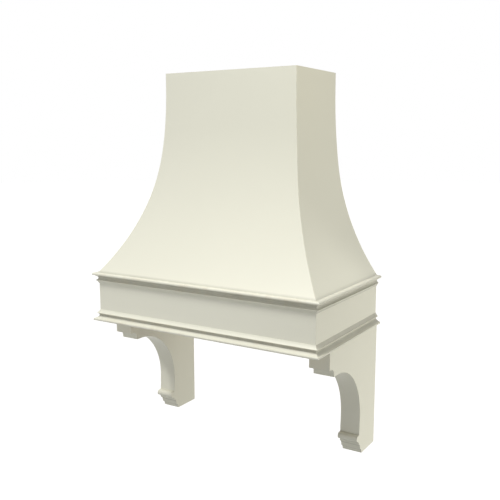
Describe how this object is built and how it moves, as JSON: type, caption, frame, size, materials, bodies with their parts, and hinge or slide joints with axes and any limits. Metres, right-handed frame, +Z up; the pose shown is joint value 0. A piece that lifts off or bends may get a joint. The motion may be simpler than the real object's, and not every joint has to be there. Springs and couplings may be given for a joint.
{
  "type": "range hood cover",
  "caption": "Wall-hung wooden range hood cover: plumb chimney flaring out on three sides to a straight band between mouldings, carried on arched brackets, open below, behind and on top.",
  "frame": {"origin": "on the wall, on the centre line, at the middle of the straight band: the centre of the lower wall screws", "axes": "+Z up, +Y into the wall, so the hood's front faces -Y, and +X to the right of someone facing it"},
  "size_m": [0.953, 0.5221, 1.3917],
  "materials": {
    "painted_wood": "satin cream paint on smooth wood",
    "plywood": "raw birch plywood",
    "pine": "planed raw softwood",
    "zinc_steel": "bright zinc plate"
  },
  "bodies": {
    "root": {"bottom_rail_back": "pine", "bottom_rail_front": "pine", "bracket_nuts": "zinc_steel", "bracket_studs": "zinc_steel", "bracket_washers": "zinc_steel", "corner_blocks": "pine", "frieze_front": "painted_wood", "front_panel": "painted_wood", "front_rib_centre": "plywood", "front_rib_left": "plywood", "front_rib_right": "plywood", "keyhole_plates": "zinc_steel", "left_back_stile": "plywood", "left_bottom_rail": "pine", "left_bracket": "painted_wood", "left_frieze": "painted_wood", "left_hip_rib": "plywood", "left_lower_moulding": "painted_wood", "left_side_panel": "painted_wood", "left_side_rib": "plywood", "left_sill_rail": "pine", "left_top_rail": "pine", "left_upper_moulding": "painted_wood", "lower_moulding_front": "painted_wood", "lower_wall_rail": "pine", "right_back_stile": "plywood", "right_bottom_rail": "pine", "right_bracket": "painted_wood", "right_frieze": "painted_wood", "right_hip_rib": "plywood", "right_lower_moulding": "painted_wood", "right_side_panel": "painted_wood", "right_side_rib": "plywood", "right_sill_rail": "pine", "right_top_rail": "pine", "right_upper_moulding": "painted_wood", "sill_rail_back": "pine", "sill_rail_front": "pine", "top_rail_front": "pine", "upper_moulding_front": "painted_wood", "upper_wall_rail": "pine"}
  },
  "joints": []
}
